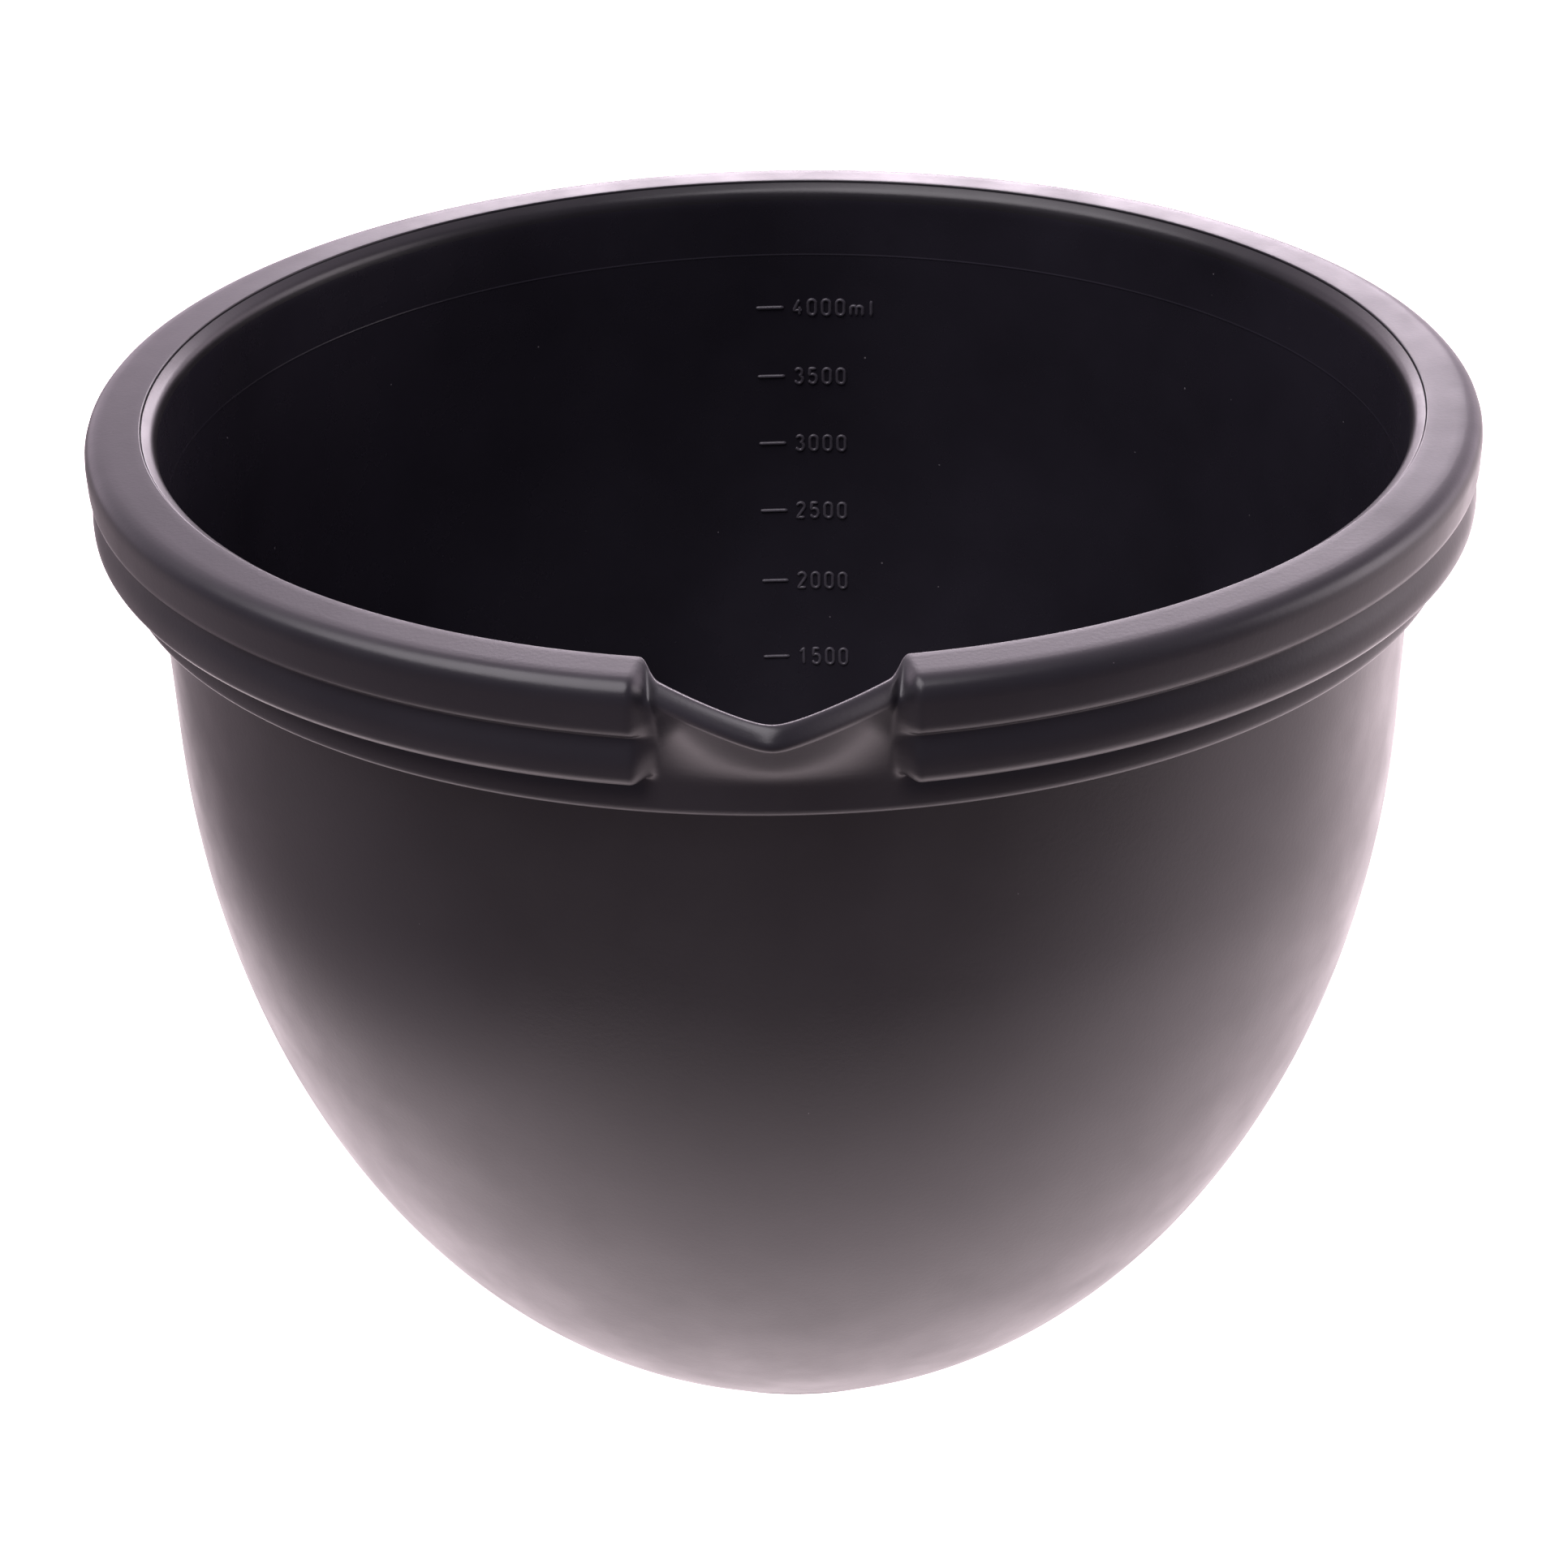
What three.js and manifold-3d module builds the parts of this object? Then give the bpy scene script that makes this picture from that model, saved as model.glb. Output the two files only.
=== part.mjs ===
// A deep mixing bowl with a pouring spout, in three pieces: the moulded shell, the stepped rim
// collar that carries the spout, and a soft non-slip ring in the foot.
// Millimetres, +Z up. The origin is on the bowl's axis in the plane it stands on, the spout points
// to -Y and the volume marks are on the inside of the +Y wall.
import * as THREE from "three";
import { mergeVertices } from "three/addons/utils/BufferGeometryUtils.js";
import Module from "manifold-3d";

const wasm = await Module();
wasm.setup();

// Driving dimensions.
const BOWL_HEIGHT = 182;
const CLEARANCE = 0.3; // between two pieces that touch

// The wall is a quarter of an ellipse turned round the axis, then straight up to the rim.
const WALL_RADIUS = 105.8;
const WALL_DROP = 141.5; // the ellipse's vertical half-axis
const WALL_CENTRE_HEIGHT = 128.5;
const WALL_THICKNESS = 2.3;
const FLOOR_TOP = 4.6;
const FLOOR_UNDERSIDE = 1.5;

// The wall's top edge is rounded over to the inside. A flange a little below it locks into a groove
// round the inside of the collar.
const LIP_DEPTH = 0.3; // the edge's top below the rim
const LIP_ROUNDING = 2;
const FLANGE_RADIUS = 108.9;
const FLANGE_TOP = 3; // below the rim
const FLANGE_BOTTOM = 4.5;

// The foot and the non-slip ring in its groove.
const FOOT_RADIUS = 48.2;
const FOOT_LIFT = 0.6; // the plastic foot's height above the table
const FOOT_EDGE = 0.8; // bevel of the foot's outer edge
const FOOT_RISE = 3; // height of the band that leads from the foot to the wall
const FLOOR_COVE = 3; // how wide the rounding between the inside floor and the wall is
const GROOVE_INNER = 42.5;
const GROOVE_OUTER = 46;
const GROOVE_TOP = 2.6;
const GROOVE_LIP = 1.5; // width of plastic inside the groove
const FOOT_RING_BEVEL = 0.3;

// The collar: three grip rings, each measured down from the rim.
const RING_RADIUS = 115; // the upper two rings
const LOW_RING_RADIUS = 111.4;
const RING_ONE_BOTTOM = 8;
const RING_TWO_BOTTOM = 15.8;
const COLLAR_BOTTOM = 21.6;
const TOP_ROLL = 3; // rounding of the rim's outer edge
const NOTCH = 1.2; // how far the surface steps in between the upper two rings
const RING_BEVEL = 0.8; // the rings' lower edges
const CREASE_BEVEL = 0.3; // the collar's inner top edge, beside the wall's edge

// The spout, a V in plan between two shoulders.
const SPOUT_BASE_RADIUS = 104.4; // the inner edge where the V starts
const SPOUT_REACH = 17; // how far its tip stands out from there
const SPOUT_HALF_ANGLE = 10; // degrees each side of the middle
const CUT_ANGLE = 2; // degrees over which the rings give way, and beyond them the wall's edge
const SIDE_SLOPE = 0.053; // share of the reach lost for each millimetre away from the middle
const TIP_SOFTNESS = 2;
const SPOUT_LIP = 4.2; // width of the spout's rolled edge
const SPOUT_LIP_DEPTH = 3.6; // outer edge of the rolled edge below the rim, at the tip
const SPOUT_LIP_START = 2.5; // the same at the shoulders
const SPOUT_CREST = 0.9; // top of the rolled edge below the rim
const SPOUT_EDGE_DEPTH = 1.8; // where the rolled edge turns down into the channel
const CHANNEL_DEPTH = 14; // bottom of the channel below the rim, in the middle
const CHANNEL_START = 2.6; // the same at the shoulders
const CHANNEL_EDGE = 0.8; // thickness of the channel's edge where it laps over the wall
const COVE_POWER = 1.5; // how quickly the outside flares out above the low ring
const COVE_STEPS = 8;

// The volume marks: raised bars beside the middle of the back wall, one for every half litre.
const MARK_STEP_LITRES = 0.5;
const MARK_COUNT = 8;
const MARK_LENGTH = 5.6;
const MARK_WIDTH = 0.7;
const MARK_PROUD = 0.4;
const MARK_ROOT = 0.8; // how far a bar is sunk into the wall
const MARK_GAP = 1.2; // from the bowl's middle plane to the bar's end
const MM3_PER_LITRE = 1e6;

// How finely the round shapes are divided.
const COARSE_STEP = 6; // degrees
const FINE_STEP = 2; // degrees, across the spout
const FINE_REACH = 18; // degrees each side of the spout's middle
const WALL_STEPS = 9;
const WALL_CROWDING = 1.6; // how far the steps crowd towards the foot, where the wall curves most
const INTEGRATION_STEP = 0.05;
const MERGE_DISTANCE = 1e-3;

const mix = (a, b, share) => a + (b - a) * share;
const smooth = (x) => THREE.MathUtils.smoothstep(x, 0, 1);

// The wall's radius at a height, on the outside (inset 0) or the inside (inset the thickness).
function wallRadius(height, inset) {
  const below = Math.max(0, WALL_CENTRE_HEIGHT - height) / (WALL_DROP - inset);
  return (WALL_RADIUS - inset) * Math.sqrt(1 - below * below);
}

// How much of the spout there is at an azimuth: push is the share of its full reach, cut is 1 where
// the grip rings have given way to it, notch is 1 where the wall's edge has, a little further out,
// and flange is 0 where the flange has sunk into the wall, further out again.
function spoutAt(azimuth) {
  const inside = SPOUT_HALF_ANGLE - Math.abs(THREE.MathUtils.radToDeg(azimuth));
  const aside = SPOUT_BASE_RADIUS * Math.sin(azimuth);
  const side = 1 - SIDE_SLOPE * (Math.hypot(aside, TIP_SOFTNESS) - TIP_SOFTNESS);
  return {
    push: Math.max(0, side),
    cut: smooth(inside / CUT_ANGLE),
    notch: smooth(1 + inside / CUT_ANGLE),
    flange: 1 - smooth(2 + inside / CUT_ANGLE),
  };
}

const channelDepth = (push) => mix(CHANNEL_START, CHANNEL_DEPTH, push);

// The collar's section away from the spout, as radius and depth below the rim.
function ringSection() {
  const inner = WALL_RADIUS + CLEARANCE;
  const groove = FLANGE_RADIUS + CLEARANCE;
  const rollMiddle = TOP_ROLL * (1 - Math.SQRT1_2);
  return [
    [inner, COLLAR_BOTTOM],
    [LOW_RING_RADIUS - RING_BEVEL, COLLAR_BOTTOM],
    [LOW_RING_RADIUS, COLLAR_BOTTOM - RING_BEVEL],
    [LOW_RING_RADIUS - CREASE_BEVEL, RING_TWO_BOTTOM + CLEARANCE],
    [RING_RADIUS - RING_BEVEL, RING_TWO_BOTTOM],
    [RING_RADIUS, RING_TWO_BOTTOM - RING_BEVEL],
    [RING_RADIUS, mix(RING_ONE_BOTTOM, RING_TWO_BOTTOM, 0.5)],
    [RING_RADIUS - NOTCH, RING_ONE_BOTTOM + CLEARANCE],
    [RING_RADIUS - NOTCH / 3, RING_ONE_BOTTOM],
    [RING_RADIUS, RING_ONE_BOTTOM - RING_BEVEL],
    [RING_RADIUS, TOP_ROLL],
    [RING_RADIUS - rollMiddle, rollMiddle],
    [RING_RADIUS - TOP_ROLL, 0],
    [inner + CREASE_BEVEL, 0],
    [inner, CREASE_BEVEL],
    [inner, FLANGE_TOP - CLEARANCE],
    [groove, FLANGE_TOP - CLEARANCE],
    [groove, FLANGE_BOTTOM + CLEARANCE],
    [inner, FLANGE_BOTTOM + CLEARANCE],
  ];
}

// The collar's section through the spout: an outside that flares from the low ring to the lip, the
// rolled lip, and a channel that slopes back to the wall and laps over its cut edge.
function spoutSection(push) {
  const wall = WALL_RADIUS - WALL_THICKNESS;
  const inner = WALL_RADIUS + CLEARANCE;
  const edge = SPOUT_BASE_RADIUS + SPOUT_REACH * push;
  const lip = edge + SPOUT_LIP;
  const lipDepth = mix(SPOUT_LIP_START, SPOUT_LIP_DEPTH, push);
  const channel = channelDepth(push);
  const section = ringSection().slice(0, 3);
  for (let i = 0; i < COVE_STEPS; i++) {
    const rise = i / COVE_STEPS;
    const radius = mix(LOW_RING_RADIUS, lip, Math.pow(rise, COVE_POWER));
    section.push([radius, mix(RING_TWO_BOTTOM, lipDepth, rise)]);
  }
  section.push([lip, lipDepth], [mix(lip, edge, 0.15), mix(SPOUT_CREST, lipDepth, 0.3)]);
  section.push([mix(lip, edge, 0.4), SPOUT_CREST], [mix(lip, edge, 0.75), SPOUT_CREST]);
  section.push([edge, SPOUT_EDGE_DEPTH]);
  section.push([wall, channel], [wall, channel + CHANNEL_EDGE], [inner, channel + CHANNEL_EDGE]);
  return section;
}

function blend(first, second, share) {
  return first.map(([radius, depth], i) => [
    mix(radius, second[i][0], share),
    BOWL_HEIGHT - mix(depth, second[i][1], share),
  ]);
}

function collarSection(azimuth) {
  const { push, cut } = spoutAt(azimuth);
  return blend(ringSection(), spoutSection(push), cut);
}

// The top of the shell's wall, from its outside over the flange and the rounded edge to its inside,
// and what is left of it under the spout's channel.
function lipSection(flange) {
  const inner = WALL_RADIUS - WALL_THICKNESS;
  const outer = mix(WALL_RADIUS + CLEARANCE / 2, FLANGE_RADIUS, flange);
  const roundingMiddle = LIP_ROUNDING * (1 - Math.SQRT1_2);
  return [
    [WALL_RADIUS, COLLAR_BOTTOM],
    [WALL_RADIUS, FLANGE_BOTTOM],
    [outer, FLANGE_BOTTOM],
    [outer, FLANGE_TOP],
    [WALL_RADIUS, FLANGE_TOP],
    [WALL_RADIUS, LIP_DEPTH],
    [inner + LIP_ROUNDING, LIP_DEPTH],
    [inner + roundingMiddle, LIP_DEPTH + roundingMiddle],
    [inner, LIP_DEPTH + LIP_ROUNDING],
    [inner, COLLAR_BOTTOM],
  ];
}

function notchedSection(push) {
  const top = channelDepth(push) + CHANNEL_EDGE + 2 * CLEARANCE;
  const inner = WALL_RADIUS - WALL_THICKNESS;
  const bevel = WALL_THICKNESS / 10;
  return [
    [WALL_RADIUS, COLLAR_BOTTOM],
    [WALL_RADIUS, top + 5 * bevel],
    [WALL_RADIUS, top + 4 * bevel],
    [WALL_RADIUS, top + 3 * bevel],
    [WALL_RADIUS, top + 2 * bevel],
    [WALL_RADIUS, top + bevel],
    [WALL_RADIUS - bevel, top],
    [inner + bevel, top],
    [inner, top + bevel],
    [inner, COLLAR_BOTTOM],
  ];
}

// The shell's section, from the middle of the underside out over the lip to the middle of the floor.
function shellSection(azimuth) {
  const { push, notch, flange } = spoutAt(azimuth);
  const lowest = FOOT_LIFT + FOOT_RISE;
  const straight = BOWL_HEIGHT - COLLAR_BOTTOM;
  const foot = [
    [0, FLOOR_UNDERSIDE],
    [GROOVE_INNER - GROOVE_LIP, FLOOR_UNDERSIDE],
    [GROOVE_INNER - GROOVE_LIP, FOOT_LIFT],
    [GROOVE_INNER, FOOT_LIFT],
    [GROOVE_INNER, GROOVE_TOP],
    [GROOVE_OUTER, GROOVE_TOP],
    [GROOVE_OUTER, FOOT_LIFT],
    [FOOT_RADIUS - FOOT_EDGE, FOOT_LIFT],
    [FOOT_RADIUS, FOOT_LIFT + FOOT_EDGE],
  ];
  const outside = [];
  const inside = [];
  for (let i = 0; i < WALL_STEPS; i++) {
    const share = Math.pow(i / WALL_STEPS, WALL_CROWDING);
    const outer = mix(lowest, straight, share);
    const inner = mix(FLOOR_TOP + FLOOR_COVE / 2, straight, share);
    outside.push([wallRadius(outer, 0), outer]);
    inside.unshift([wallRadius(inner, WALL_THICKNESS), inner]);
  }
  const corner = wallRadius(FLOOR_TOP, WALL_THICKNESS) - FLOOR_COVE;
  const floor = [
    [corner, FLOOR_TOP],
    [0, FLOOR_TOP],
  ];
  const lip = blend(lipSection(flange), notchedSection(push), notch);
  return [...foot, ...outside, ...lip, ...inside, ...floor];
}

function footRingSection() {
  const inner = GROOVE_INNER + CLEARANCE;
  const outer = GROOVE_OUTER - CLEARANCE;
  const top = GROOVE_TOP - CLEARANCE;
  return [
    [inner, FOOT_RING_BEVEL],
    [inner + FOOT_RING_BEVEL, 0],
    [outer - FOOT_RING_BEVEL, 0],
    [outer, FOOT_RING_BEVEL],
    [outer, top],
    [inner, top],
  ];
}

// Azimuths right round the bowl, counted from the spout's middle, closer together across it.
function azimuths() {
  const angles = [];
  let degrees = -FINE_REACH;
  while (degrees < 360 - FINE_REACH) {
    angles.push(THREE.MathUtils.degToRad(degrees));
    degrees += degrees < FINE_REACH ? FINE_STEP : COARSE_STEP;
  }
  return angles;
}

// Carries a closed section round the axis. Where the section lies on the axis it has no surface.
function turnRound(sectionAt) {
  const angles = azimuths();
  const sections = angles.map(sectionAt);
  const count = sections[0].length;
  const positions = [];
  sections.forEach((section, i) => {
    for (const [radius, height] of section) {
      positions.push(radius * Math.sin(angles[i]), -radius * Math.cos(angles[i]), height);
    }
  });
  const faces = [];
  for (let i = 0; i < angles.length; i++) {
    const next = (i + 1) % angles.length;
    for (let j = 0; j < count; j++) {
      const after = (j + 1) % count;
      const here = sections[i][j][0] > 0;
      const there = sections[i][after][0] > 0;
      const corners = [i, next, next, i].map((turn, k) => turn * count + (k < 2 ? j : after));
      if (here) faces.push(corners[0], corners[1], corners[2]);
      if (there) faces.push(corners[0], corners[2], corners[3]);
    }
  }
  const geometry = new THREE.BufferGeometry();
  geometry.setAttribute("position", new THREE.Float32BufferAttribute(positions, 3));
  geometry.setIndex(faces);
  return mergeVertices(geometry, MERGE_DISTANCE);
}

function toSolid(geometry) {
  const bare = geometry.clone();
  bare.deleteAttribute("normal");
  bare.deleteAttribute("uv");
  const merged = mergeVertices(bare, MERGE_DISTANCE);
  return new wasm.Manifold(
    new wasm.Mesh({
      numProp: 3,
      vertProperties: new Float32Array(merged.attributes.position.array),
      triVerts: new Uint32Array(merged.index.array),
    }),
  );
}

function toGeometry(solid) {
  const mesh = solid.getMesh();
  const geometry = new THREE.BufferGeometry();
  geometry.setAttribute("position", new THREE.Float32BufferAttribute(mesh.vertProperties, 3));
  geometry.setIndex([...mesh.triVerts]);
  return geometry;
}

// The height up to which the bowl holds a volume.
function fillHeight(litres) {
  let height = FLOOR_TOP;
  let held = 0;
  while (held < litres * MM3_PER_LITRE) {
    held += Math.PI * wallRadius(height, WALL_THICKNESS) ** 2 * INTEGRATION_STEP;
    height += INTEGRATION_STEP;
  }
  return height;
}

// One raised bar on the inside of the back wall, lying along the wall's slope.
function volumeMark(litres) {
  const height = fillHeight(litres);
  const radius = wallRadius(height, WALL_THICKNESS);
  const above = wallRadius(height + MARK_WIDTH, WALL_THICKNESS);
  const below = wallRadius(height - MARK_WIDTH, WALL_THICKNESS);
  const slope = (above - below) / (2 * MARK_WIDTH);
  const across = -MARK_GAP - MARK_LENGTH / 2;
  const bar = new THREE.BoxGeometry(MARK_LENGTH, MARK_ROOT + MARK_PROUD, MARK_WIDTH);
  bar.translate(0, (MARK_ROOT - MARK_PROUD) / 2, 0);
  bar.rotateX(-Math.atan(slope));
  bar.translate(across, Math.sqrt(radius * radius - across * across), height);
  return toSolid(bar);
}

function shell() {
  let solid = toSolid(turnRound(shellSection));
  for (let i = 1; i <= MARK_COUNT; i++) {
    solid = solid.add(volumeMark(i * MARK_STEP_LITRES));
  }
  return toGeometry(solid);
}

function piece(name, geometry, color, roughness) {
  const material = new THREE.MeshStandardMaterial({ color, roughness, metalness: 0 });
  geometry.computeVertexNormals();
  const mesh = new THREE.Mesh(geometry, material);
  mesh.name = name;
  return mesh;
}

const bowl = new THREE.Group();
bowl.add(piece("bowl_shell", shell(), 0x1c1b1d, 0.38));
bowl.add(piece("rim_collar", turnRound(collarSection), 0x1f1e20, 0.42));
bowl.add(piece("foot_ring", turnRound(footRingSection), 0x141414, 0.8));

export default bowl;
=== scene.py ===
import math

import bmesh
import bpy
from mathutils import Matrix, Vector


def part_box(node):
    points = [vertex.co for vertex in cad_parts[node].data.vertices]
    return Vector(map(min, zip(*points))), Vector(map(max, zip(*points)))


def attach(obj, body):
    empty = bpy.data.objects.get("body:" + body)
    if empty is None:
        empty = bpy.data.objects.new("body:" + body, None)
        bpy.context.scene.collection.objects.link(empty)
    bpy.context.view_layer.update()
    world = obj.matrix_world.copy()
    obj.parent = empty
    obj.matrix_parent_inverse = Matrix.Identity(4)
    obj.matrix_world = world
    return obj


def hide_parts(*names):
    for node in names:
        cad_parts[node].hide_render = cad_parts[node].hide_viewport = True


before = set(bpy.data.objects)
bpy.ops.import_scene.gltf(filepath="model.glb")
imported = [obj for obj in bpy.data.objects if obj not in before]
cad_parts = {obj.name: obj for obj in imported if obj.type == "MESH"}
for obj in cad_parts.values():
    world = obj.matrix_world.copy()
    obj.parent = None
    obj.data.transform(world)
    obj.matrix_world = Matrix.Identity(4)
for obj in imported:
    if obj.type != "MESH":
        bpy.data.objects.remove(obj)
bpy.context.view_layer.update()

# The looks of a deep black mixing bowl: the moulded shell with its raised volume marks, the stepped
# rim collar with the pouring spout, and the non-slip ring in the foot.
# Outlines are in millimetres and become metres when a mesh is made. The spout points to -Y.

MM = 0.001


def corner_mm(node, which, axis):
    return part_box(node)[which][axis] / MM


# Sizes that the frame gives.
RIM_HEIGHT = corner_mm("rim_collar", 1, 2)
RING_RADIUS = corner_mm("rim_collar", 1, 0)
COLLAR_BOTTOM = RIM_HEIGHT - corner_mm("rim_collar", 0, 2)
SPOUT_TIP = -corner_mm("rim_collar", 0, 1)
FLANGE_RADIUS = corner_mm("bowl_shell", 1, 1)
LIP_DEPTH = RIM_HEIGHT - corner_mm("bowl_shell", 1, 2)
FOOT_LIFT = corner_mm("bowl_shell", 0, 2)
FOOT_RING_OUTER = corner_mm("foot_ring", 1, 0)
FOOT_RING_TOP = corner_mm("foot_ring", 1, 2)

# The wall: a quarter of an ellipse, then straight.
WALL_RADIUS = 105.8
WALL_DROP = 141.5
WALL_CENTRE_HEIGHT = 128.5
WALL_THICKNESS = 2.3
INNER_RADIUS = WALL_RADIUS - WALL_THICKNESS
FLOOR_TOP = 4.6
FLOOR_UNDERSIDE = 1.5
FLOOR_COVE = 3.0
JOINT_GAP = 0.3
JOINT_LINE = 0.05
LIP_ROUNDING = 2.0
FLANGE_TOP = 3.0
FLANGE_BOTTOM = 4.5

# The foot.
FOOT_RADIUS = 48.2
GROOVE_INNER = 42.5
GROOVE_OUTER = FOOT_RING_OUTER + JOINT_GAP
GROOVE_TOP = FOOT_RING_TOP + JOINT_GAP
GROOVE_LIP = 1.5
FOOT_BLEND_TOP = 5.0
TREAD_LANDS = 3
TREAD_GROOVE_DEPTH = 0.35

# The collar's rings, measured down from the rim.
LOW_RING_RADIUS = 111.4
RING_ONE_BOTTOM = 8.0
RING_TWO_BOTTOM = 15.8
TOP_ROLL = 4.5
NOTCH = 1.3

# The spout.
SPOUT_LIP = 4.2
SPOUT_LIP_START = 2.5
SPOUT_LIP_DEPTH = 3.6
SPOUT_CREST = 0.6
SPOUT_EDGE_DEPTH = 1.6
SPOUT_BASE_RADIUS = 104.4
SPOUT_REACH = SPOUT_TIP - SPOUT_LIP - SPOUT_BASE_RADIUS
SPOUT_HALF_ANGLE = 10.0
CUT_ANGLE = 2.0
SIDE_SLOPE = 0.053
TIP_SOFTNESS = 2.0
CHANNEL_DEPTH = 14.0
CHANNEL_START = 2.6
CHANNEL_EDGE = 0.8
COVE_POWER = 1.5
COVE_STEPS = 8

# The faint witness line that the mould leaves round the inside.
WITNESS_DEPTH = 14.7
WITNESS_PROUD = 0.07

# Volume marks.
MARK_STEP_LITRES = 0.5
MARK_COUNT = 8
MARK_LENGTH = 5.6
MARK_GAP = 1.2
NUMBER_START = 0.9
DIGIT_HEIGHT = 3.2
DIGIT_WIDTH = 1.55
DIGIT_PITCH = 2.9
LETTER_M_PITCH = 4.05
STROKE_RADIUS = 0.36

# Fineness of the turned meshes.
FINE_REACH = 16.0
FINE_STEP = 0.2
COARSE_STEP = 0.8
WALL_STEPS = 64
WALL_CROWDING = 1.6
FILLET_STEPS = 5


def mix(a, b, share):
    return a + (b - a) * share


def smooth(x):
    x = min(1.0, max(0.0, x))
    return x * x * (3 - 2 * x)


def wall_radius(height, inset):
    below = max(0.0, WALL_CENTRE_HEIGHT - height) / (WALL_DROP - inset)
    return (WALL_RADIUS - inset) * math.sqrt(1 - below * below)


def spout_at(degrees):
    """The spout's share of its full reach, and how far the rings, the wall's edge and the flange have
    given way to it."""
    inside = SPOUT_HALF_ANGLE - abs(degrees)
    aside = SPOUT_BASE_RADIUS * math.sin(math.radians(degrees))
    side = 1 - SIDE_SLOPE * (math.hypot(aside, TIP_SOFTNESS) - TIP_SOFTNESS)
    cut = smooth(inside / CUT_ANGLE)
    notch = smooth(1 + inside / CUT_ANGLE)
    return max(0, side), cut, notch, smooth(2 + inside / CUT_ANGLE)


def channel_depth(push):
    return mix(CHANNEL_START, CHANNEL_DEPTH, push)


# Outlines are lists of corners: radius, depth below the rim, and the corner's rounding.


def ring_outline():
    inner = WALL_RADIUS + JOINT_LINE
    groove = FLANGE_RADIUS + JOINT_GAP
    ring_two_middle = mix(RING_ONE_BOTTOM, RING_TWO_BOTTOM, 0.5)
    return [
        (inner, COLLAR_BOTTOM, 0.3),
        (LOW_RING_RADIUS, COLLAR_BOTTOM, 1.2),
        (LOW_RING_RADIUS, RING_TWO_BOTTOM + 3, 2),
        (LOW_RING_RADIUS - 0.9, RING_TWO_BOTTOM, 0.4),
        (RING_RADIUS - 0.8, RING_TWO_BOTTOM - 0.2, 0.3),
        (RING_RADIUS, RING_TWO_BOTTOM - 1.2, 0.8),
        (RING_RADIUS, ring_two_middle, 1.8),
        (RING_RADIUS - NOTCH, RING_ONE_BOTTOM + 0.3, 0.4),
        (RING_RADIUS - 0.5, RING_ONE_BOTTOM, 0.4),
        (RING_RADIUS, RING_ONE_BOTTOM - 0.9, 0.8),
        (RING_RADIUS, 0, TOP_ROLL),
        (mix(inner, RING_RADIUS, 0.3), 0, 2),
        (inner, 0, 0.25),
        (inner, FLANGE_TOP - JOINT_GAP, 0.1),
        (groove, FLANGE_TOP - JOINT_GAP, 0.1),
        (groove, FLANGE_BOTTOM + JOINT_GAP, 0.1),
        (inner, FLANGE_BOTTOM + JOINT_GAP, 0.1),
    ]


def spout_outline(push):
    inner = WALL_RADIUS + JOINT_LINE
    edge = SPOUT_BASE_RADIUS + SPOUT_REACH * push
    lip = edge + SPOUT_LIP
    lip_depth = mix(SPOUT_LIP_START, SPOUT_LIP_DEPTH, push)
    channel = channel_depth(push)
    outline = ring_outline()[:3]
    for i in range(COVE_STEPS):
        rise = i / COVE_STEPS
        radius = mix(LOW_RING_RADIUS, lip, rise**COVE_POWER)
        outline.append((radius, mix(RING_TWO_BOTTOM, lip_depth, rise), 1.0))
    outline.append((lip, lip_depth, 1.4))
    outline.append((edge + 0.45 * SPOUT_LIP, SPOUT_CREST, 1.6))
    outline.append((edge, SPOUT_EDGE_DEPTH, 1.2))
    outline.append((INNER_RADIUS, channel, 1.5))
    outline.append((INNER_RADIUS, channel + CHANNEL_EDGE, 0.2))
    outline.append((inner, channel + CHANNEL_EDGE, 0.2))
    return outline


def lip_outline(sunk):
    """The top of the wall, from its outside over the flange and the rounded edge to its inside."""
    flange = mix(FLANGE_RADIUS, WALL_RADIUS + JOINT_GAP / 2, sunk)
    return [
        (WALL_RADIUS, COLLAR_BOTTOM, 0),
        (WALL_RADIUS, FLANGE_BOTTOM, 0.1),
        (flange, FLANGE_BOTTOM, 0.1),
        (flange, FLANGE_TOP, 0.1),
        (WALL_RADIUS, FLANGE_TOP, 0.1),
        (WALL_RADIUS, LIP_DEPTH, 0.25),
        (WALL_RADIUS - 0.5, LIP_DEPTH + 0.3, 0.5),
        (INNER_RADIUS + 0.4, LIP_DEPTH + 0.65 * LIP_ROUNDING, 1.2),
        (INNER_RADIUS, LIP_DEPTH + 1.6 * LIP_ROUNDING, 1.5),
        (INNER_RADIUS, WITNESS_DEPTH - 0.25, 0.05),
        (INNER_RADIUS - WITNESS_PROUD, WITNESS_DEPTH, 0.05),
        (INNER_RADIUS, WITNESS_DEPTH + 0.25, 0.05),
        (INNER_RADIUS, COLLAR_BOTTOM, 0),
    ]


def notched_outline(push):
    top = channel_depth(push) + CHANNEL_EDGE + 2 * JOINT_GAP
    return [
        (WALL_RADIUS, COLLAR_BOTTOM, 0),
        (WALL_RADIUS, top + 1.2, 0.1),
        (WALL_RADIUS, top + 0.9, 0.1),
        (WALL_RADIUS, top + 0.6, 0.1),
        (WALL_RADIUS, top + 0.3, 0.1),
        (WALL_RADIUS - 0.2, top, 0.1),
        (mix(WALL_RADIUS, INNER_RADIUS, 0.4), top, 0.1),
        (mix(WALL_RADIUS, INNER_RADIUS, 0.7), top, 0.1),
        (INNER_RADIUS + 0.2, top, 0.1),
        (INNER_RADIUS, top + 0.3, 0.1),
        (INNER_RADIUS, top + 0.6, 0.1),
        (INNER_RADIUS, top + 0.9, 0.1),
        (INNER_RADIUS, COLLAR_BOTTOM, 0),
    ]


def blend(first, second, share):
    return [tuple(mix(a, b, share) for a, b in zip(p, q)) for p, q in zip(first, second)]


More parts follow.
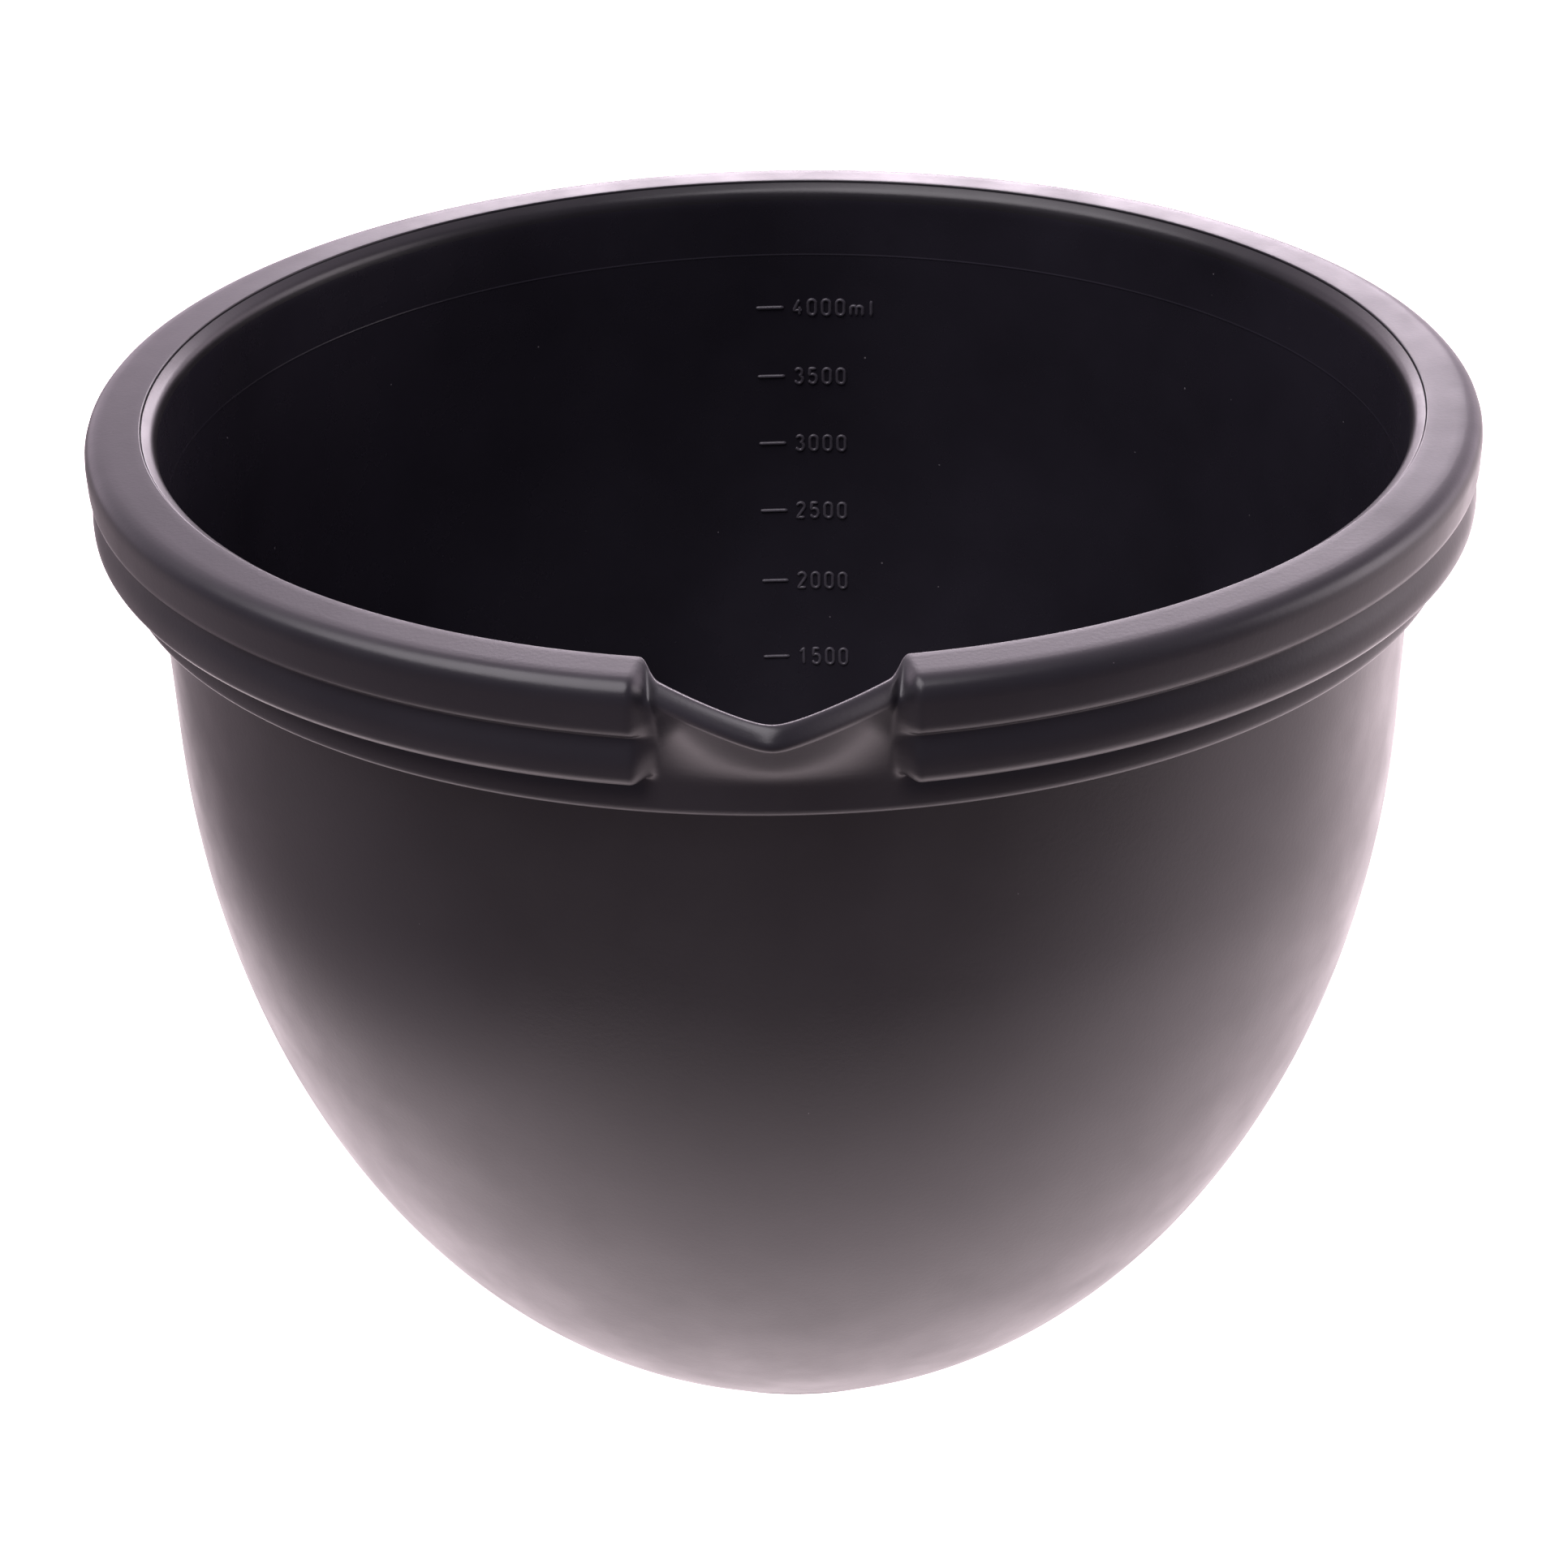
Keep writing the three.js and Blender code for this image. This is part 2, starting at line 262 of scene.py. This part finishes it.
def rounded(outline, closed):
    """The outline with each corner replaced by a curve, as radius and height."""
    points = []
    count = len(outline)
    for i, (radius, depth, rounding) in enumerate(outline):
        corner = Vector((radius, RIM_HEIGHT - depth))
        if rounding == 0 or (not closed and i in (0, count - 1)):
            points.append(corner)
            continue
        ends = []
        for j in (i - 1, (i + 1) % count):
            towards = Vector((outline[j][0], RIM_HEIGHT - outline[j][1])) - corner
            reach = min(rounding, 0.48 * towards.length)
            ends.append(corner + towards.normalized() * reach)
        for k in range(FILLET_STEPS + 1):
            t = k / FILLET_STEPS
            points.append(ends[0] * (1 - t) ** 2 + corner * 2 * t * (1 - t) + ends[1] * t * t)
    return points


def collar_section(degrees):
    push, cut, _, _ = spout_at(degrees)
    return rounded(blend(ring_outline(), spout_outline(push), cut), True)


def foot_outline():
    """The underside and the foot, as corners in the same form, from the axis outwards."""
    corners = [
        (0, FLOOR_UNDERSIDE, 0),
        (GROOVE_INNER - GROOVE_LIP, FLOOR_UNDERSIDE, 0.3),
        (GROOVE_INNER - GROOVE_LIP, FOOT_LIFT, 0.3),
        (GROOVE_INNER, FOOT_LIFT, 0.15),
        (GROOVE_INNER, GROOVE_TOP, 0.15),
        (GROOVE_OUTER, GROOVE_TOP, 0.15),
        (GROOVE_OUTER, FOOT_LIFT, 0.15),
        (FOOT_RADIUS - 0.4, FOOT_LIFT, 0.8),
        (FOOT_RADIUS + 0.4, FOOT_LIFT + 2, 1.2),
        (wall_radius(FOOT_LIFT + 4, 0), FOOT_LIFT + 4, 1.2),
        (wall_radius(FOOT_LIFT + FOOT_BLEND_TOP, 0), FOOT_LIFT + FOOT_BLEND_TOP, 0),
    ]
    return [(radius, RIM_HEIGHT - height, rounding) for radius, height, rounding in corners]


def shell_section(degrees):
    push, _, notch, sunk = spout_at(degrees)
    straight = RIM_HEIGHT - COLLAR_BOTTOM
    cove_top = FLOOR_TOP + FLOOR_COVE
    outside = []
    inside = []
    for i in range(1, WALL_STEPS):
        share = (i / WALL_STEPS) ** WALL_CROWDING
        outer = mix(FOOT_LIFT + FOOT_BLEND_TOP, straight, share)
        inner = mix(cove_top, straight, share)
        outside.append(Vector((wall_radius(outer, 0), outer)))
        inside.insert(0, Vector((wall_radius(inner, WALL_THICKNESS), inner)))
    lip = rounded(blend(lip_outline(sunk), notched_outline(push), notch), False)
    corner = wall_radius(cove_top, WALL_THICKNESS)
    floor = [
        (corner, RIM_HEIGHT - cove_top, 0),
        (corner - 2.6, RIM_HEIGHT - FLOOR_TOP, 5),
        (0, RIM_HEIGHT - FLOOR_TOP, 0),
    ]
    return rounded(foot_outline(), False) + outside + lip + inside + rounded(floor, False)


def foot_ring_section(_):
    inner = GROOVE_INNER + JOINT_GAP
    top = RIM_HEIGHT - FOOT_RING_TOP
    outline = [(FOOT_RING_OUTER, top, 0.2), (inner, top, 0.2)]
    # Two shallow grooves in the face that stands on the table part its three lands.
    width = FOOT_RING_OUTER - inner
    for i in range(TREAD_LANDS):
        left = inner + width * i / TREAD_LANDS
        right = inner + width * (i + 1) / TREAD_LANDS
        outline.append((left + 0.1, RIM_HEIGHT, 0.1))
        outline.append((right - 0.1, RIM_HEIGHT, 0.1))
        if i < TREAD_LANDS - 1:
            outline.append((right, RIM_HEIGHT - TREAD_GROOVE_DEPTH, 0.05))
    return rounded(outline, True)


def angles_round():
    angles = []
    degrees = -FINE_REACH
    while degrees < 360 - FINE_REACH - 1e-6:
        angles.append(degrees)
        degrees += FINE_STEP if degrees < FINE_REACH - 1e-6 else COARSE_STEP
    return angles


def turned(name, section_at):
    """A mesh object made by carrying a section round the axis, which may change on the way."""
    angles = angles_round()
    sections = [section_at(a) for a in angles]
    count = len(sections[0])
    vertices = []
    for degrees, section in zip(angles, sections):
        turn = math.radians(degrees)
        for radius, height in section:
            vertices.append((radius * math.sin(turn) * MM, -radius * math.cos(turn) * MM, height * MM))
    faces = []
    for i in range(len(angles)):
        here = i * count
        there = (i + 1) % len(angles) * count
        for j in range(count):
            after = (j + 1) % count
            if sections[i][j].x > 0 or sections[i][after].x > 0:
                faces.append((here + j, there + j, there + after, here + after))
    mesh = bpy.data.meshes.new(name)
    mesh.from_pydata(vertices, [], faces)
    bm = bmesh.new()
    bm.from_mesh(mesh)
    bmesh.ops.remove_doubles(bm, verts=bm.verts, dist=1e-7)
    for face in bm.faces:
        face.smooth = True
    bm.to_mesh(mesh)
    bm.free()
    piece = bpy.data.objects.new(name, mesh)
    bpy.context.scene.collection.objects.link(piece)
    return piece


# Strokes of the raised numbers, in a cell that is DIGIT_WIDTH wide and DIGIT_HEIGHT high.


def arc(cx, cy, rx, ry, start, end, steps=10):
    points = []
    for i in range(steps + 1):
        angle = math.radians(mix(start, end, i / steps))
        points.append((cx + rx * math.cos(angle), cy + ry * math.sin(angle)))
    return points


def strokes_of(character):
    w = DIGIT_WIDTH
    h = DIGIT_HEIGHT
    half = w / 2
    x_height = 0.62 * h
    if character == "0":
        ring = arc(half, h - half, half, half, 0, 180) + arc(half, half, half, half, 180, 360)
        return [ring + ring[:1]]
    if character == "1":
        return [[(0.1 * w, 0.76 * h), (0.62 * w, h), (0.62 * w, 0)]]
    if character == "2":
        bowl = arc(half, h - half, half, half, 170, -25)
        return [bowl + [(0, 0), (w, 0)]]
    if character == "3":
        upper = arc(half, 0.76 * h, 0.44 * w, 0.24 * h, 165, -90)
        lower = arc(half, 0.27 * h, half, 0.27 * h, 80, -165)
        return [upper, lower]
    if character == "4":
        return [[(0.7 * w, h), (0, 0.3 * h), (1.05 * w, 0.3 * h)], [(0.72 * w, 0.55 * h), (0.72 * w, 0)]]
    if character == "5":
        bowl = arc(0.46 * w, 0.31 * h, 0.54 * w, 0.31 * h, 110, -160)
        return [[(0.92 * w, h), (0.12 * w, h), (0.06 * w, 0.56 * h)] + bowl]
    if character == "m":
        arch = 0.39 * w
        strokes = [[(0, 0), (0, x_height)]]
        for foot in (0, 2 * arch):
            over = arc(foot + arch, x_height - arch, arch, arch, 180, 0, 6)
            strokes.append(over + [(foot + 2 * arch, 0)])
        return strokes
    return [[(0.1 * w, 0), (0.1 * w, h)]]


def on_back_wall(along, up, height):
    """The point on the inside of the back wall that lies along and up from a mark's middle."""
    level = height + up
    radius = wall_radius(level, WALL_THICKNESS)
    turn = along / radius
    return Vector((radius * math.sin(turn), radius * math.cos(turn), level)) * MM


def fill_height(litres):
    step = 0.05
    height = FLOOR_TOP
    held = 0
    while held < litres * 1e6:
        held += math.pi * wall_radius(height, WALL_THICKNESS) ** 2 * step
        height += step
    return height


def densified(points, longest=0.25):
    """The same polyline with no stretch longer than longest, so that it follows the curved wall."""
    dense = [points[0]]
    for a, b in zip(points, points[1:]):
        steps = max(1, math.ceil(math.dist(a, b) / longest))
        for i in range(1, steps + 1):
            dense.append((mix(a[0], b[0], i / steps), mix(a[1], b[1], i / steps)))
    return dense


def add_stroke(curve, points, height, thickness):
    dense = densified(points)
    closed = math.dist(dense[0], dense[-1]) < 1e-6
    if closed:
        dense.pop()
    spline = curve.splines.new("POLY")
    spline.points.add(len(dense) - 1)
    spline.use_cyclic_u = closed
    for i, (along, up) in enumerate(dense):
        place = on_back_wall(along, up, height)
        spline.points[i].co = (*place, 1)
        # The ends of an open stroke are rounded off.
        from_end = min(i, len(dense) - 1 - i)
        spline.points[i].radius = thickness if closed or from_end > 1 else thickness * (0.55, 0.9)[from_end]


def number_for(litres):
    text = str(int(litres * 1000))
    return text + "ml" if litres == MARK_STEP_LITRES * MARK_COUNT else text


def volume_marks():
    curve = bpy.data.curves.new("volume_marks", "CURVE")
    curve.dimensions = "3D"
    curve.bevel_depth = STROKE_RADIUS * MM
    curve.bevel_resolution = 4
    curve.use_fill_caps = True
    for i in range(1, MARK_COUNT + 1):
        litres = i * MARK_STEP_LITRES
        height = fill_height(litres)
        add_stroke(curve, [(-MARK_GAP - MARK_LENGTH, 0), (-MARK_GAP, 0)], height, 1.1)
        cell = NUMBER_START
        for character in number_for(litres):
            for stroke in strokes_of(character):
                moved = [(cell + x, y - DIGIT_HEIGHT / 2) for x, y in stroke]
                add_stroke(curve, moved, height, 1.0)
            cell += LETTER_M_PITCH if character == "m" else DIGIT_PITCH
    piece = bpy.data.objects.new("volume_marks", curve)
    bpy.context.scene.collection.objects.link(piece)
    return piece


# Materials.

DUST_CELLS_PER_METRE = 260
DUSTY_SHARE = 0.14
DUST_COLOR = (0.16, 0.15, 0.16, 1)


def new_material(name, color, roughness):
    material = bpy.data.materials.new(name)
    material.use_nodes = True
    shader = material.node_tree.nodes["Principled BSDF"]
    shader.inputs["Base Color"].default_value = (*color, 1)
    shader.inputs["Roughness"].default_value = roughness
    shader.inputs["IOR"].default_value = 1.5
    return material, shader


def add_node(material, kind, **settings):
    node = material.node_tree.nodes.new(kind)
    for key, value in settings.items():
        setattr(node, key, value)
    return node


def noise(material, scale, detail, roughness=0.5):
    tree = material.node_tree
    place = add_node(material, "ShaderNodeTexCoord")
    node = add_node(material, "ShaderNodeTexNoise")
    node.inputs["Scale"].default_value = scale
    node.inputs["Detail"].default_value = detail
    node.inputs["Roughness"].default_value = roughness
    tree.links.new(place.outputs["Object"], node.inputs["Vector"])
    return node


def ranged(material, source, low, high):
    node = add_node(material, "ShaderNodeMapRange")
    node.inputs["From Min"].default_value = 0.3
    node.inputs["From Max"].default_value = 0.7
    node.inputs["To Min"].default_value = low
    node.inputs["To Max"].default_value = high
    material.node_tree.links.new(source, node.inputs["Value"])
    return node.outputs["Result"]


def mixed_color(material, share, low, high):
    node = add_node(material, "ShaderNodeMix", data_type="RGBA")
    node.inputs[6].default_value = (*low, 1)
    node.inputs[7].default_value = (*high, 1)
    material.node_tree.links.new(share, node.inputs[0])
    return node.outputs[2]


def dust_specks(material, size):
    """Where dust lies: one tiny speck in a few of many small cells."""
    tree = material.node_tree
    place = add_node(material, "ShaderNodeTexCoord")
    cells = add_node(material, "ShaderNodeTexVoronoi")
    cells.inputs["Scale"].default_value = DUST_CELLS_PER_METRE
    tree.links.new(place.outputs["Object"], cells.inputs["Vector"])
    near = add_node(material, "ShaderNodeMath", operation="LESS_THAN")
    near.inputs[1].default_value = size
    tree.links.new(cells.outputs["Distance"], near.inputs[0])
    drawn = add_node(material, "ShaderNodeSeparateColor")
    tree.links.new(cells.outputs["Color"], drawn.inputs["Color"])
    picked = add_node(material, "ShaderNodeMath", operation="GREATER_THAN")
    picked.inputs[1].default_value = 1 - DUSTY_SHARE
    tree.links.new(drawn.outputs["Red"], picked.inputs[0])
    return product(tree, near.outputs["Value"], picked.outputs["Value"])


def moulded_plastic(name, color, roughness, grain, grain_strength, dust):
    """Black moulded plastic: a fine grain, patches of different gloss, soft flow marks and dust."""
    material, shader = new_material(name, color, roughness)
    links = material.node_tree.links
    patches = noise(material, 22, 4)
    patch_share = ranged(material, patches.outputs["Fac"], 0, 1)
    low = tuple(0.75 * c for c in color)
    high = tuple(1.3 * c for c in color)
    tone = mixed_color(material, patch_share, low, high)
    dusted = add_node(material, "ShaderNodeMix", data_type="RGBA")
    links.new(dust_specks(material, dust), dusted.inputs[0])
    links.new(tone, dusted.inputs[6])
    dusted.inputs[7].default_value = DUST_COLOR
    links.new(dusted.outputs[2], shader.inputs["Base Color"])
    gloss = noise(material, 60, 5, 0.6)
    links.new(
        ranged(material, gloss.outputs["Fac"], roughness - 0.04, roughness + 0.05),
        shader.inputs["Roughness"],
    )
    # Fine spark-eroded grain over long, very shallow flow marks.
    fine = noise(material, grain, 3, 0.6)
    bump = add_node(material, "ShaderNodeBump")
    bump.inputs["Strength"].default_value = grain_strength
    bump.inputs["Distance"].default_value = 0.00005
    links.new(fine.outputs["Fac"], bump.inputs["Height"])
    broad = noise(material, 9, 2)
    sink = add_node(material, "ShaderNodeBump")
    sink.inputs["Strength"].default_value = 0.25
    sink.inputs["Distance"].default_value = 0.0005
    links.new(broad.outputs["Fac"], sink.inputs["Height"])
    links.new(sink.outputs["Normal"], bump.inputs["Normal"])
    links.new(bump.outputs["Normal"], shader.inputs["Normal"])
    return material


def rubber(name):
    material, shader = new_material(name, (0.012, 0.012, 0.013), 0.75)
    links = material.node_tree.links
    grain = noise(material, 900, 4, 0.7)
    links.new(ranged(material, grain.outputs["Fac"], 0.66, 0.85), shader.inputs["Roughness"])
    bump = add_node(material, "ShaderNodeBump")
    bump.inputs["Strength"].default_value = 0.5
    bump.inputs["Distance"].default_value = 0.0001
    links.new(grain.outputs["Fac"], bump.inputs["Height"])
    links.new(bump.outputs["Normal"], shader.inputs["Normal"])
    patches = noise(material, 40, 3)
    share = ranged(material, patches.outputs["Fac"], 0, 1)
    tone = mixed_color(material, share, (0.009, 0.009, 0.010), (0.018, 0.017, 0.018))
    links.new(tone, shader.inputs["Base Color"])
    return material


def split_inside(piece, inner_material):
    """Gives the faces on the bowl's inside, below the lip, their own smoother finish, and a lighter, bluer
    base colour that is painted light standing in for the light inside the bowl.
    """
    piece.data.materials.append(inner_material)
    for face in piece.data.polygons:
        centre = face.center / MM
        radius = math.hypot(centre.x, centre.y)
        middle = wall_radius(centre.z, WALL_THICKNESS / 2) if centre.z > FLOOR_TOP - 1 else 0
        above_floor = centre.z > (FLOOR_TOP + FLOOR_UNDERSIDE) / 2
        if above_floor and radius < middle and centre.z < RIM_HEIGHT - LIP_DEPTH - 3:
            face.material_index = 1


# The camera, from the photograph's viewing angle, and the studio.

CAMERA_PLACE = Vector((0.0078, -0.4483, 0.3558))
CAMERA_YAW = -1.134
CAMERA_PITCH = 29.41
CAMERA_ROLL = -1.18
CAMERA_LENS = 65.2
SENSOR_WIDTH = 36.0

# The table's painted glow, from its own emission: dim in front of the bowl, bright under and behind it.
TABLE_GLOW = 2.05
TABLE_SIDE_LEAN = 16

# The world's colours: before the bowl, behind it, and as the camera sees it.
DIM_ROOM = (0.2, 0.175, 0.24, 1)
BRIGHT_STUDIO = (2.0, 1.66, 1.95, 1)
WHITE_BACKDROP = (1.2, 1.2, 1.2, 1)


def make_camera():
    yaw = math.radians(CAMERA_YAW)
    pitch = math.radians(CAMERA_PITCH)
    roll = math.radians(CAMERA_ROLL)
    forward = Vector((math.sin(yaw) * math.cos(pitch), math.cos(yaw) * math.cos(pitch), -math.sin(pitch)))
    level = Vector((math.cos(yaw), -math.sin(yaw), 0))
    up = level.cross(forward)
    right = level * math.cos(roll) + up * math.sin(roll)
    up = right.cross(forward)
    data = bpy.data.cameras.new("camera")
    data.lens = CAMERA_LENS
    data.sensor_width = SENSOR_WIDTH
    data.clip_start = 0.01
    camera = bpy.data.objects.new("camera", data)
    turn = Matrix((right, up, -forward)).transposed().to_4x4()
    camera.matrix_world = Matrix.Translation(CAMERA_PLACE) @ turn
    bpy.context.scene.collection.objects.link(camera)
    bpy.context.scene.camera = camera


def fade(tree, position, direction, start, end, low, high):
    """A smooth change from low to high as a position moves along a direction."""
    along = tree.nodes.new("ShaderNodeVectorMath")
    along.operation = "DOT_PRODUCT"
    along.inputs[1].default_value = direction
    tree.links.new(position, along.inputs[0])
    ramp = tree.nodes.new("ShaderNodeMapRange")
    ramp.interpolation_type = "SMOOTHSTEP"
    ramp.inputs["From Min"].default_value = start
    ramp.inputs["From Max"].default_value = end
    ramp.inputs["To Min"].default_value = low
    ramp.inputs["To Max"].default_value = high
    tree.links.new(along.outputs["Value"], ramp.inputs["Value"])
    return ramp.outputs["Result"]


def product(tree, first, second):
    node = tree.nodes.new("ShaderNodeMath")
    node.operation = "MULTIPLY"
    tree.links.new(first, node.inputs[0])
    tree.links.new(second, node.inputs[1])
    return node.outputs["Value"]


def make_floor():
    """A pale table whose own emission is a painted glow, standing in for a translucent table lit from
    below: less in front and to the sides, most behind.
    """
    mesh = bpy.data.meshes.new("floor")
    corners = [(-2.5, -1.2, 0), (2.5, -1.2, 0), (2.5, 3.5, 0), (-2.5, 3.5, 0)]
    mesh.from_pydata(corners, [], [(0, 1, 2, 3)])
    floor = bpy.data.objects.new("floor", mesh)
    bpy.context.scene.collection.objects.link(floor)
    material, shader = new_material("floor_painted_glow", (0.2, 0.17, 0.18), 0.6)
    shader.inputs["Specular IOR Level"].default_value = 0.0
    shader.inputs["Emission Color"].default_value = (1, 0.85, 0.9, 1)
    tree = material.node_tree
    place = add_node(material, "ShaderNodeTexCoord").outputs["Object"]
    lean = math.radians(TABLE_SIDE_LEAN)
    from_left = (math.cos(lean), math.sin(lean), 0)
    from_right = (-math.cos(lean), math.sin(lean), 0)
    # Painted glow: the floor's emission stands in for light and fades to dim in front, less at the sides,
    # most behind.
    front = fade(tree, place, (0, 1, 0), start=-0.31, end=-0.08, low=0.04, high=TABLE_GLOW)
    left = fade(tree, place, from_left, start=-0.23, end=-0.135, low=0.1, high=1)
    right = fade(tree, place, from_right, start=-0.42, end=-0.17, low=0.4, high=1)
    behind = fade(tree, place, (0, 1, 0), start=0, end=0.2, low=1, high=1.35)
    glow = product(tree, product(tree, product(tree, front, behind), left), right)
    tree.links.new(glow, shader.inputs["Emission Strength"])
    mesh.materials.append(material)


def make_world():
    """A white studio behind the bowl and a dim room in front of it, behind the photographer."""
    world = bpy.data.worlds.new("studio")
    world.use_nodes = True
    bpy.context.scene.world = world
    tree = world.node_tree
    background = tree.nodes["Background"]
    place = tree.nodes.new("ShaderNodeTexCoord").outputs["Generated"]
    shade = tree.nodes.new("ShaderNodeMix")
    shade.data_type = "RGBA"
    behind = fade(tree, place, (0.2, 0.98, 0), start=-0.1, end=0.95, low=0, high=1)
    low = fade(tree, place, (0, 0, -1), start=-0.55, end=-0.15, low=0.35, high=1)
    tree.links.new(product(tree, behind, low), shade.inputs[0])
    shade.inputs[6].default_value = DIM_ROOM
    shade.inputs[7].default_value = BRIGHT_STUDIO
    rays = tree.nodes.new("ShaderNodeLightPath")
    seen = tree.nodes.new("ShaderNodeMix")
    seen.data_type = "RGBA"
    tree.links.new(rays.outputs["Is Camera Ray"], seen.inputs[0])
    tree.links.new(shade.outputs[2], seen.inputs[6])
    seen.inputs[7].default_value = WHITE_BACKDROP
    tree.links.new(seen.outputs[2], background.inputs["Color"])
    background.inputs["Strength"].default_value = 1.0


def add_softbox(name, place, target, size, radiance, color):
    data = bpy.data.lights.new(name, "AREA")
    data.shape = "RECTANGLE"
    data.size, data.size_y = size
    data.energy = radiance * math.pi * size[0] * size[1]
    data.color = color
    light = bpy.data.objects.new(name, data)
    light.location = place
    light.rotation_euler = (Vector(target) - Vector(place)).to_track_quat("-Z", "Y").to_euler()
    bpy.context.scene.collection.objects.link(light)


def make_lights():
    add_softbox("overhead", (-0.45, -0.3, 1.3), (0, 0, 0), (1.5, 1.2), 4.0, (1, 0.94, 1))
    add_softbox("behind", (0.1, 1.5, 0.58), (0, 0, 0.18), (0.85, 0.24), 10.5, (1, 0.88, 0.98))
    add_softbox("right", (1.4, 0.2, 0.5), (0, 0, 0.1), (0.8, 0.8), 2.6, (1, 0.9, 0.95))


def make_looks():
    shell_outside = moulded_plastic("shell_satin", (0.013, 0.012, 0.0135), 0.34, 1400, 0.35, 0.02)
    # The inside is the same plastic as the outside. Its lower roughness is the smoother moulded finish, and
    # its lighter, bluer base colour is painted light for the light inside the bowl.
    shell_inside_painted_light = moulded_plastic("shell_inside_painted_light", (0.017, 0.0155, 0.021), 0.26, 1100, 0.25, 0.05)
    collar_finish = moulded_plastic("collar_satin", (0.014, 0.013, 0.0155), 0.36, 1400, 0.35, 0.02)
    # The raised marks are the same plastic as the shell. Their lighter base colour is a painted highlight
    # for the light caught on their rounded tops.
    marks_painted_highlight = moulded_plastic("marks_painted_highlight_plastic", (0.06, 0.056, 0.066), 0.3, 1100, 0.15, 0.0)

    shell = turned("bowl_shell_moulding", shell_section)
    shell.data.materials.append(shell_outside)
    split_inside(shell, shell_inside_painted_light)
    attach(shell, "root")
    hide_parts("bowl_shell")

    collar = turned("rim_collar_moulding", collar_section)
    collar.data.materials.append(collar_finish)
    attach(collar, "root")
    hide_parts("rim_collar")

    ring = turned("foot_ring_rubber", foot_ring_section)
    ring.data.materials.append(rubber("foot_rubber"))
    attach(ring, "root")
    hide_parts("foot_ring")

    marks = volume_marks()
    marks.data.materials.append(marks_painted_highlight)
    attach(marks, "root")


make_camera()
make_world()
make_lights()
make_floor()
make_looks()
bpy.context.scene.view_settings.view_transform = "Standard"

bpy.context.view_layer.update()
